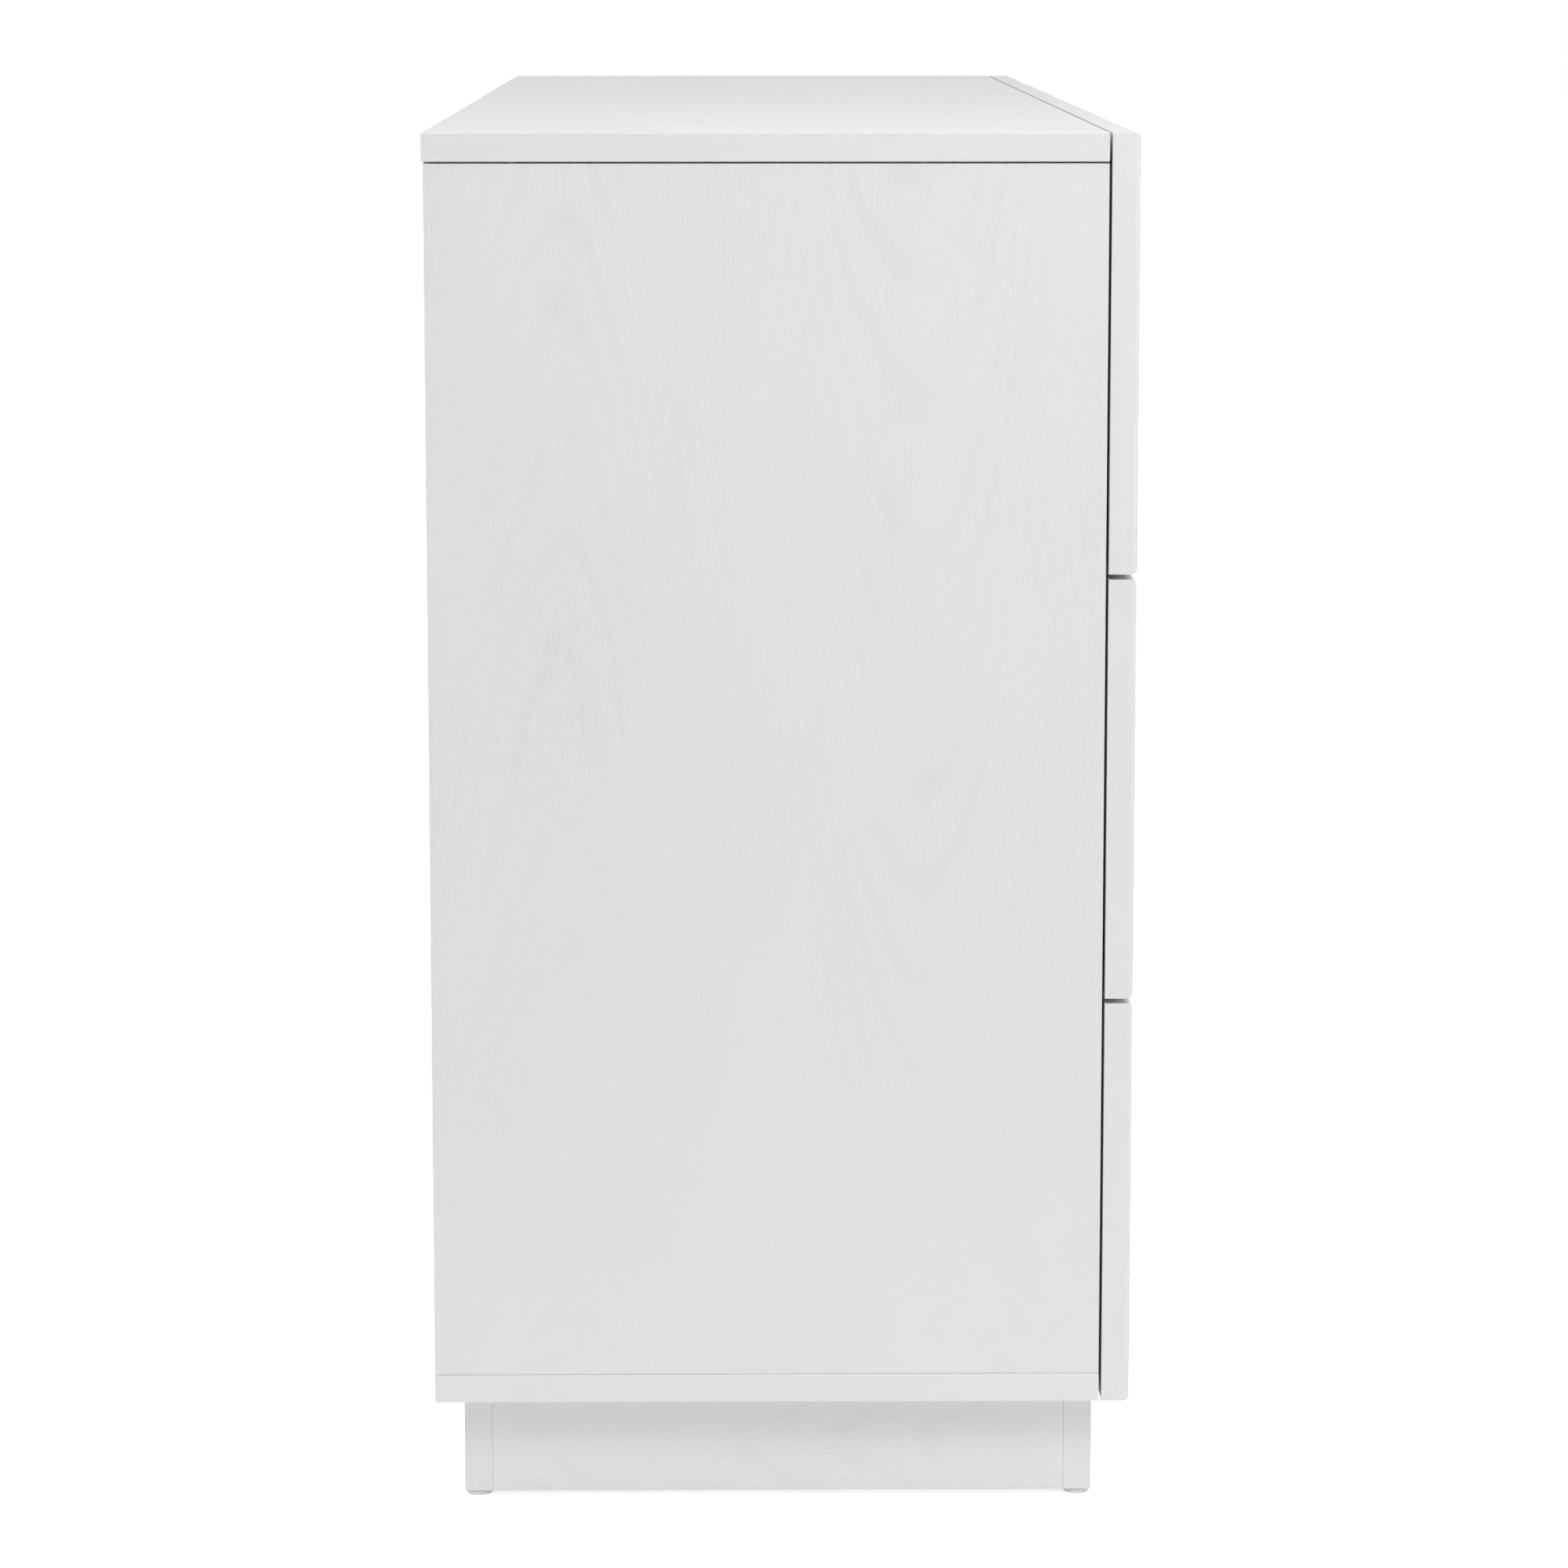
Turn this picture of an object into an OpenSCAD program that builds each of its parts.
// Six-drawer sideboard in white wood-grain board.
// Frame: X across the width, drawer fronts facing -Y, +Z up.
// The origin lies on the floor, in the middle of the footprint. Millimetres.

/* [Overall] */
// Width over the top panel
total_w = 1400; // [1000:10:1600]
// Depth from the drawer faces to the rear edge of the top panel
total_d = 400; // [395:1:440]
// Height from the floor to the top surface
total_h = 785; // [780:1:840]

/* [Boards] */
// Thickness of the carcass boards, plinth boards and drawer fronts
board_t = 16; // [15:1:18]
// Thickness of the drawer box sides and backs
box_t = 12; // [12:1:15]
// Thickness of the hardboard backs and drawer bottoms
sheet_t = 3; // [2.5:0.5:3]
// How far the top and bottom panels stand out beyond the side panels
panel_proud = 1; // [0.5:0.5:2]

/* [Fronts] */
// Gap between neighbouring drawer fronts
front_gap = 3; // [2:0.5:4]
// Gap between the carcass edges and the closed fronts
closing_gap = 1.5; // [1:0.5:2]
// How much lower each front is than the one above it
front_step = 7; // [0:1:8]
// Radius of the outer edges of the fronts
front_r = 3; // [1:0.5:4]

/* [Plinth] */
// Height of the plinth boards
plinth_h = 57; // [50:1:70]
// Height of a floor glide
glide_h = 3; // [2:0.5:5]
// Setback of the plinth from the side and rear edges of the bottom panel
plinth_inset = 16; // [10:1:30]
// Setback of the plinth behind the front edge of the bottom panel
plinth_front_inset = 3; // [0:1:20]

/* [Drawer boxes] */
// Height of a drawer box
box_h = 180; // [140:5:180]
// Length of a drawer box, front to back
box_d = 350; // [320:5:350]
// Width of the space for one slide, between carcass and box
slide_space = 13; // [12.5:0.5:14]
// How far a drawer pulls out
travel = 250; // [150:10:250]

/* [Hidden] */
$fn = 48;
row_names = ["top", "middle", "bottom"];
col_names = ["left", "right"];
row_count = len(row_names);
DRAWERS = [for (r = row_names, c = col_names) str(r, "_", c)];
DRAWER_PARTS = [
    "front", "box_sides", "box_back", "box_bottom",
    "slide_rails", "ball_cages", "push_plungers",
];
CARCASS_PARTS = [
    "top_panel", "bottom_panel", "side_panel_left", "side_panel_right",
    "centre_partition", "back_panel_left", "back_panel_right", "back_joint_strip",
    "plinth_front", "plinth_rear", "plinth_side_left", "plinth_side_right",
    "plinth_brace", "floor_glides", "slide_channels", "latch_housings",
    "cam_fittings", "dowels",
];

// Colours of the finishes
ash_white = [0.89, 0.89, 0.89];
foil_white = [0.86, 0.86, 0.85];
hardboard_brown = [0.62, 0.48, 0.34];
zinc = [0.74, 0.75, 0.77];
plastic_grey = [0.55, 0.56, 0.57];
plastic_white = [0.93, 0.93, 0.92];
beech = [0.80, 0.66, 0.47];

// Levels, measured up from the floor
base_z = glide_h + plinth_h;
floor_top_z = base_z + board_t;
ceiling_z = total_h - board_t;
carcass_h = total_h - base_z;

// Depth positions; the carcass ends behind the closed fronts
face_y = -total_d / 2;
front_back_y = face_y + board_t;
carcass_front_y = front_back_y + closing_gap;
top_rear_y = total_d / 2;
side_rear_y = top_rear_y - panel_proud;

// Width positions
side_out_x = total_w / 2 - panel_proud;
side_in_x = side_out_x - board_t;
bay_w = side_in_x - board_t / 2;
bay_cx = (side_in_x + board_t / 2) / 2;
upright_xs = [-(side_out_x - board_t / 2), 0, side_out_x - board_t / 2];

// Shadow groove under the top panel
groove_h = 1;
groove_d = 6;

// Hardboard backs and the grooves that hold them
back_groove_d = 5;
back_play = 0.2;
back_inset = 12;
back_y = side_rear_y - back_inset;
strip_w = 16;
strip_t = 1.6;
strip_end_play = 1;
partition_rear_y = back_y - 2 * strip_t;

// Drawer fronts
front_w = (total_w - front_gap) / 2;
front_cx = (front_gap + front_w) / 2;
mean_front_h = (carcass_h - (row_count - 1) * front_gap) / row_count;
function front_h(r) = mean_front_h + (1 - r) * front_step;
function front_z(r) = r == row_count - 1
    ? base_z
    : front_z(r + 1) + front_h(r + 1) + front_gap;

// Drawer boxes; the bottom reaches into grooves in the sides and the front
box_w = bay_w - 2 * slide_space;
box_lift = 15;
box_groove_d = 4;
box_groove_z = 10;
box_groove_h = sheet_t + back_play;
box_rear_y = front_back_y + box_d;
bottom_w = box_w - 2 * box_t + 2 * box_groove_d - 2 * back_play;
function box_z(r) = max(front_z(r), floor_top_z) + box_lift;

// Ball-bearing slides: a channel on the carcass, a rail on the box, balls between
slide_h = 35;
steel_t = 1.2;
channel_w = 10;
channel_lip = 3.9;
rail_reach = 9;
rail_h = 24;
cage_h = 28.8;
cage_t = 0.5;
cage_u = 2.2;
cage_w = 6;
cage_len = 180;
cage_front_y = -48;
ball_r = 1.7;
ball_u = 5.6;
balls_per_row = 6;
slide_z = 60;
slide_setback = 1.5;
slide_front_y = carcass_front_y + slide_setback;
rail_end_gap = 1;
rail_front_y = front_back_y + rail_end_gap;
rail_len = box_d - 4 * rail_end_gap;

// Push latches above the box sides
latch_z = 12;
latch_u = 8;
latch_r = 6;
latch_setback = 7.5;
latch_front_y = front_back_y + latch_setback;
latch_len = 62;
latch_base_t = 2;
latch_base_h = 20;
latch_base_inset = 2;
plunger_r = 3;
plunger_bore_r = 3.3;
plunger_tip_r = 4.5;
plunger_tip_len = 3.7;
plunger_gap = 0.3;
plunger_len = 54;
bore_end_wall = 5.5;

// Cam fittings and dowels, in pairs along each upright
cam_ys = [-80, 150];
dowel_ys = [-140, 110];
cam_r = 7.5;
cam_len = 12.5;
cam_from_edge = 24;
pocket_play = 0.5;
bolt_r = 3;
bolt_head_len = 3;
bolt_neck_len = 4;
bolt_in_panel = 10;
dowel_r = 4;
dowel_len = 30;
dowel_in_panel = 11;
drill_play = 0.1;

// Plinth boards and the glides under them
plinth_x = total_w / 2 - plinth_inset;
plinth_front_y = carcass_front_y + plinth_front_inset;
plinth_rear_y = side_rear_y - plinth_inset;
glide_r = 7.5;
glide_foot_r = 6;

// Overshoot of cutting solids
cut = 1;

// ---------- shared shapes ----------

// A block given by its lowest and highest corners.
module block(low, high) {
    translate(low) cube(high - low);
}

// Outline of a front: thickness along x from the face, length along y,
// with the two corners at the face rounded.
module face_rounded_outline(thick, len) {
    translate([front_r, 0]) square([thick - front_r, len]);
    translate([0, front_r]) square([thick, len - 2 * front_r]);
    for (y = [front_r, len - front_r]) translate([front_r, y]) circle(r = front_r);
}

// Places its child in column c, with the child's +x side pointing outwards.
module in_column(c) {
    if (c == 0) mirror([1, 0, 0]) children();
    else children();
}

// Places a child drawn with u = 0 on a carcass wall and u growing into the bay
// on both walls of a right-hand bay.
module on_both_walls() {
    translate([board_t / 2, 0, 0]) children();
    translate([side_in_x, 0, 0]) mirror([1, 0, 0]) children();
}

// A profile drawn in the x-z plane, drawn out along +y from y0.
module along_y(y0, len) {
    translate([0, y0 + len, 0]) rotate([90, 0, 0]) linear_extrude(len) children();
}

// A round bar along +y.
module bar_y(r, y0, y1) {
    translate([0, y0, 0]) rotate([-90, 0, 0]) cylinder(r = r, h = y1 - y0);
}

// A round bar along z.
module bar_z(r, z0, z1) {
    translate([0, 0, z0]) cylinder(r = r, h = z1 - z0);
}

// ---------- holes for the fittings ----------

// Dowel and cam-bolt holes in the panel above (up = 1) or below (up = -1)
// the uprights; z0 is the joint's level.
module panel_holes(z0, up) {
    for (x = upright_xs) {
        for (y = dowel_ys) translate([x, y, z0]) scale_z(up)
            bar_z(dowel_r + drill_play, -cut, dowel_in_panel + drill_play);
        for (y = cam_ys) translate([x, y, z0]) scale_z(up)
            bar_z(bolt_r + drill_play, -cut, bolt_in_panel + drill_play);
    }
}

// Turns a child that is drawn upwards to point down when way is -1.
module scale_z(way) {
    if (way < 0) mirror([0, 0, 1]) children();
    else children();
}

// Holes in one end of an upright at x; pocket_x is the face that the cams show on
// and pocket_way the direction from that face into the board.
module upright_holes(x, z0, way, pocket_x, pocket_way) {
    for (y = dowel_ys) translate([x, y, z0]) scale_z(way)
        bar_z(dowel_r + drill_play, -cut, dowel_len - dowel_in_panel + drill_play);
    for (y = cam_ys) translate([x, y, z0]) scale_z(way)
        bar_z(bolt_r + 2 * drill_play, -cut, cam_from_edge);
    for (y = cam_ys) translate([pocket_x, y, z0 + way * cam_from_edge])
        rotate([0, pocket_way * 90, 0])
            translate([0, 0, -cut]) cylinder(r = cam_r + drill_play, h = cam_len + pocket_play + cut);
}

// ---------- carcass ----------

module top_panel() {
    color(ash_white) difference() {
        block([-total_w / 2, carcass_front_y, ceiling_z], [total_w / 2, top_rear_y, total_h]);
        back_groove(ceiling_z, 1);
        panel_holes(ceiling_z, 1);
    }
}

module bottom_panel() {
    color(ash_white) difference() {
        block([-total_w / 2, carcass_front_y, base_z], [total_w / 2, side_rear_y, floor_top_z]);
        back_groove(floor_top_z, -1);
        panel_holes(floor_top_z, -1);
    }
}

// Groove across the width for the hardboard backs, cut into the panel at level z0.
module back_groove(z0, way) {
    translate([0, 0, z0]) scale_z(way) block(
        [-side_in_x - back_groove_d, back_y - back_play, -cut],
        [side_in_x + back_groove_d, back_y + sheet_t + back_play, back_groove_d]
    );
}

// Side panel drawn on the +x side.
module side_panel() {
    color(ash_white) difference() {
        block([side_in_x, carcass_front_y, floor_top_z], [side_out_x, side_rear_y, ceiling_z]);
        block(
            [side_out_x - groove_d, carcass_front_y - cut, ceiling_z - groove_h],
            [side_out_x + cut, side_rear_y + cut, ceiling_z + cut]
        );
        block(
            [side_in_x - cut, back_y - back_play, floor_top_z - cut],
            [side_in_x + back_groove_d, back_y + sheet_t + back_play, ceiling_z + cut]
        );
        upright_holes(upright_xs[2], ceiling_z, -1, side_in_x, 1);
        upright_holes(upright_xs[2], floor_top_z, 1, side_in_x, 1);
    }
}

module centre_partition() {
    color(ash_white) difference() {
        block(
            [-board_t / 2, carcass_front_y, floor_top_z],
            [board_t / 2, partition_rear_y, ceiling_z]
        );
        upright_holes(0, ceiling_z, -1, -board_t / 2, 1);
        upright_holes(0, floor_top_z, 1, -board_t / 2, 1);
    }
}

// Hardboard back of the right-hand bay.
module back_panel() {
    edge_play = 0.3;
    color(hardboard_brown) block(
        [strip_t / 2 + back_play, back_y, floor_top_z - back_groove_d + edge_play],
        [side_in_x + back_groove_d - edge_play, back_y + sheet_t, ceiling_z + back_groove_d - edge_play]
    );
}

// H-section plastic strip that joins the two backs.
module back_joint_strip() {
    strip_d = sheet_t + 2 * back_play;
    color(plastic_white) translate([0, back_y - back_play, floor_top_z + strip_end_play])
        linear_extrude(ceiling_z - floor_top_z - 2 * strip_end_play) {
            translate([-strip_t / 2, -strip_t / 2]) square([strip_t, strip_d + strip_t]);
            for (y = [-strip_t, strip_d])
                translate([-strip_w / 2, y]) square([strip_w, strip_t]);
        }
}

// ---------- plinth ----------

module plinth_cross_board(y0) {
    color(ash_white) block([-plinth_x, y0, glide_h], [plinth_x, y0 + board_t, base_z]);
}

module plinth_length_board(x0) {
    color(ash_white) block(
        [x0, plinth_front_y + board_t, glide_h],
        [x0 + board_t, plinth_rear_y - board_t, base_z]
    );
}

module floor_glides() {
    color(plastic_white)
        for (
            x = [-plinth_x + board_t / 2, 0, plinth_x - board_t / 2],
            y = [plinth_front_y + board_t / 2, plinth_rear_y - board_t / 2]
        ) translate([x, y, 0]) rotate_extrude() polygon([
            [0, 0], [glide_foot_r, 0], [glide_r, glide_h / 2], [glide_r, glide_h], [0, glide_h],
        ]);
}

// ---------- slides ----------

// Channel profile: x grows from the carcass wall into the bay.
module channel_profile() {
    difference() {
        translate([0, -slide_h / 2]) square([channel_w, slide_h]);
        translate([steel_t, -slide_h / 2 + steel_t])
            square([channel_w - 2 * steel_t, slide_h - 2 * steel_t]);
        translate([channel_w - steel_t - cut, -slide_h / 2 + channel_lip])
            square([steel_t + 2 * cut, slide_h - 2 * channel_lip]);
    }
}

// Rail profile, open towards the carcass wall, its web on the drawer box.
module rail_profile() {
    difference() {
        translate([slide_space - rail_reach, -rail_h / 2]) square([rail_reach, rail_h]);
        translate([slide_space - rail_reach - cut, -rail_h / 2 + steel_t])
            square([rail_reach - steel_t + cut, rail_h - 2 * steel_t]);
    }
}

module cage_profile() {
    difference() {
        translate([cage_u, -cage_h / 2]) square([cage_w, cage_h]);
        translate([cage_u + cage_t, -cage_h / 2 + cage_t])
            square([cage_w, cage_h - 2 * cage_t]);
    }
}

module slide_channels() {
    color(zinc) for (c = [0, 1], r = [0 : row_count - 1]) in_column(c) on_both_walls()
        translate([0, 0, box_z(r) + slide_z])
            along_y(slide_front_y, box_d) channel_profile();
}

module slide_rails(r, c) {
    color(zinc) in_column(c) on_both_walls()
        translate([0, 0, box_z(r) + slide_z])
            along_y(rail_front_y, rail_len) rail_profile();
}

// Ball cages: a thin strip with a row of balls above and below the rail.
module ball_cages(r, c) {
    ball_z = (slide_h - 2 * steel_t + rail_h) / 4;
    ball_pitch = cage_len / balls_per_row;
    color(zinc) in_column(c) on_both_walls()
        translate([0, 0, box_z(r) + slide_z]) {
            along_y(cage_front_y, cage_len) cage_profile();
            for (i = [0 : balls_per_row - 1], side = [-1, 1])
                translate([ball_u, cage_front_y + (i + 0.5) * ball_pitch, side * ball_z])
                    sphere(r = ball_r);
        }
}

// ---------- push latches ----------

// A tube for the plunger on a foot and a base plate; the tube's axis is at x = 0
// and the carcass wall at x = -latch_u.
module latch_housing() {
    tube_end_y = latch_front_y + latch_len;
    base_y0 = latch_front_y + latch_base_inset;
    base_y1 = tube_end_y - latch_base_inset;
    difference() {
        union() {
            bar_y(latch_r, latch_front_y, tube_end_y);
            block(
                [-latch_u, base_y0, -latch_base_h / 2],
                [-latch_u + latch_base_t, base_y1, latch_base_h / 2]
            );
            block([-latch_u, base_y0, -latch_r / 2], [-latch_u + latch_r, base_y1, latch_r / 2]);
        }
        bar_y(plunger_bore_r, latch_front_y - cut, tube_end_y - bore_end_wall);
    }
}

module plunger() {
    tip_y = front_back_y + plunger_gap;
    bar_y(plunger_tip_r, tip_y, tip_y + plunger_tip_len);
    bar_y(plunger_r, tip_y + plunger_tip_len - cut, tip_y + plunger_tip_len + plunger_len);
}

module at_latches(r) {
    on_both_walls() translate([latch_u, 0, box_z(r) + box_h + latch_z]) children();
}

module latch_housings() {
    color(plastic_grey) for (c = [0, 1], r = [0 : row_count - 1])
        in_column(c) at_latches(r) latch_housing();
}

module push_plungers(r, c) {
    color(plastic_white) in_column(c) at_latches(r) plunger();
}

// ---------- fittings ----------

// A cam disc with its cross recess, drawn with its open face at x = 0 and the
// board on the +x side; the bolt comes in from +z.
module cam_disc(bolt_x) {
    recess_w = 1.6;
    recess_l = 9;
    recess_d = 2.5;
    difference() {
        rotate([0, 90, 0]) cylinder(r = cam_r, h = cam_len);
        for (a = [0, 90]) rotate([a, 0, 0])
            translate([-cut, -recess_l / 2, -recess_w / 2])
                cube([recess_d + cut, recess_l, recess_w]);
        translate([bolt_x, 0, 0]) bar_z(bolt_r + 2 * drill_play, -bolt_r, cam_r + cut);
    }
}

// Bolt from a panel into the cam, drawn for a joint at z = 0 with the panel above.
module cam_bolt() {
    head_z = -cam_from_edge - bolt_r / 2;
    neck_z = head_z + bolt_head_len;
    shank_z = neck_z + bolt_neck_len;
    bar_z(bolt_r, head_z, neck_z);
    bar_z(bolt_r / 2, neck_z - cut, shank_z);
    bar_z(bolt_r, shank_z - cut, bolt_in_panel);
}

// Draws its child at each joint of the uprights with the panels.
// The child is drawn for a joint with the panel above it.
module at_joints(ys, xs) {
    for (x = xs, y = ys) {
        translate([x, y, ceiling_z]) children();
        translate([x, y, floor_top_z]) mirror([0, 0, 1]) children();
    }
}

module cam_fittings() {
    cam_faces = [-side_in_x, -board_t / 2, side_in_x];
    cam_ways = [-1, 1, 1];
    color(zinc) {
        at_joints(cam_ys, upright_xs) cam_bolt();
        for (i = [0 : 2]) at_joints(cam_ys, [cam_faces[i]])
            translate([0, 0, -cam_from_edge]) mirror([cam_ways[i] < 0 ? 1 : 0, 0, 0])
                cam_disc(board_t / 2);
    }
}

module dowels() {
    color(beech) at_joints(dowel_ys, upright_xs)
        bar_z(dowel_r, dowel_in_panel - dowel_len, dowel_in_panel);
}

// ---------- drawers ----------

module drawer_front(r, c) {
    h = front_h(r);
    groove_z = box_z(r) + box_groove_z;
    groove_x = bottom_w / 2 + back_play;
    color(ash_white) in_column(c) difference() {
        translate([front_cx - front_w / 2, face_y, front_z(r)]) intersection() {
            rotate([90, 0, 90]) linear_extrude(front_w) face_rounded_outline(board_t, h);
            linear_extrude(h) mirror([1, -1, 0]) face_rounded_outline(board_t, front_w);
        }
        block(
            [bay_cx - groove_x, front_back_y - box_groove_d, groove_z],
            [bay_cx + groove_x, front_back_y + cut, groove_z + box_groove_h]
        );
    }
}

module box_sides(r, c) {
    inner_x = box_w / 2 - box_t;
    color(foil_white) in_column(c) for (way = [-1, 1])
        translate([bay_cx, 0, box_z(r)]) mirror([way < 0 ? 1 : 0, 0, 0]) difference() {
            block([inner_x, front_back_y, 0], [box_w / 2, box_rear_y, box_h]);
            block(
                [inner_x - cut, front_back_y - cut, box_groove_z],
                [inner_x + box_groove_d, box_rear_y + cut, box_groove_z + box_groove_h]
            );
        }
}

module box_back(r, c) {
    inner_x = box_w / 2 - box_t;
    color(foil_white) in_column(c) translate([bay_cx, 0, box_z(r)]) block(
        [-inner_x, box_rear_y - box_t, box_groove_z + box_groove_h],
        [inner_x, box_rear_y, box_h]
    );
}

module box_bottom(r, c) {
    front_edge_y = front_back_y - box_groove_d + back_play;
    color(foil_white) in_column(c) translate([bay_cx, 0, box_z(r) + box_groove_z + back_play / 2])
        block([-bottom_w / 2, front_edge_y, 0], [bottom_w / 2, box_rear_y, sheet_t]);
}

// ---------- assembly ----------

top_panel();
bottom_panel();
in_column(0) side_panel();  // side_panel_left
in_column(1) side_panel();  // side_panel_right
centre_partition();
in_column(0) back_panel();  // back_panel_left
in_column(1) back_panel();  // back_panel_right
back_joint_strip();
plinth_cross_board(plinth_front_y);  // plinth_front
plinth_cross_board(plinth_rear_y - board_t);  // plinth_rear
plinth_length_board(-plinth_x);  // plinth_side_left
plinth_length_board(plinth_x - board_t);  // plinth_side_right
plinth_length_board(-board_t / 2);  // plinth_brace
floor_glides();
slide_channels();
latch_housings();
cam_fittings();
dowels();

for (r = [0 : row_count - 1], c = [0, 1]) {
    drawer = str(row_names[r], "_", col_names[c]);
    drawer_front(r, c);
    box_sides(r, c);
    box_back(r, c);
    box_bottom(r, c);
    slide_rails(r, c);
    ball_cages(r, c);
    push_plungers(r, c);
}
